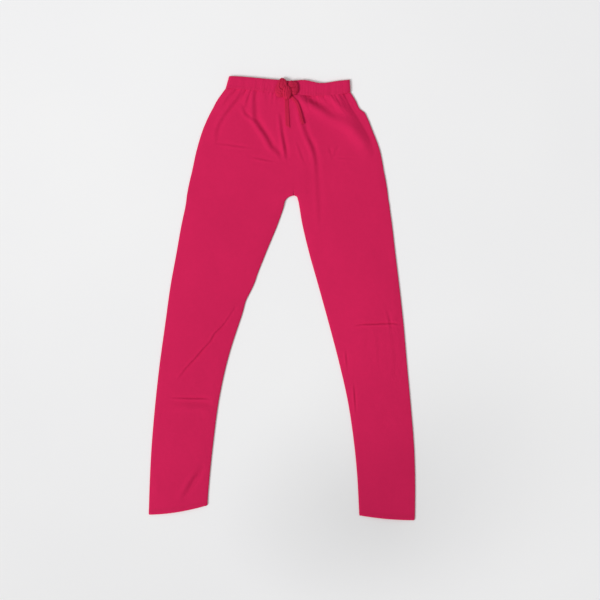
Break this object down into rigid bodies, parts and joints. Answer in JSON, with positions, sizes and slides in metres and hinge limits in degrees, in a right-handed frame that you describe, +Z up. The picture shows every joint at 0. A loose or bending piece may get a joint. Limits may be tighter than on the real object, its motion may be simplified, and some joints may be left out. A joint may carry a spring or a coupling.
{
  "type": "drawstring leggings",
  "caption": "Full-length jersey leggings laid flat on their back, with a gathered elastic waist casing and a drawstring tied in a small bow.",
  "frame": {"origin": "on the surface the leggings lie on, below the middle of their outline", "axes": "+X to the wearer's left, +Y from the hems to the waist, +Z up from the surface"},
  "size_m": [0.579, 0.9647, 0.0165],
  "materials": {
    "jersey": "matt crimson pink single jersey knit with a soft sheen",
    "casing": "the same jersey, turned over an elastic and puckered",
    "drawstring": "flat strap sewn from the same jersey"
  },
  "bodies": {
    "root": {"leg_panel_right": "jersey", "leg_panel_left": "jersey", "waistband": "casing", "bow_knot": "drawstring", "bow_loop_right": "drawstring", "bow_loop_left": "drawstring", "bow_tail_right": "drawstring", "bow_tail_left": "drawstring"}
  },
  "joints": []
}
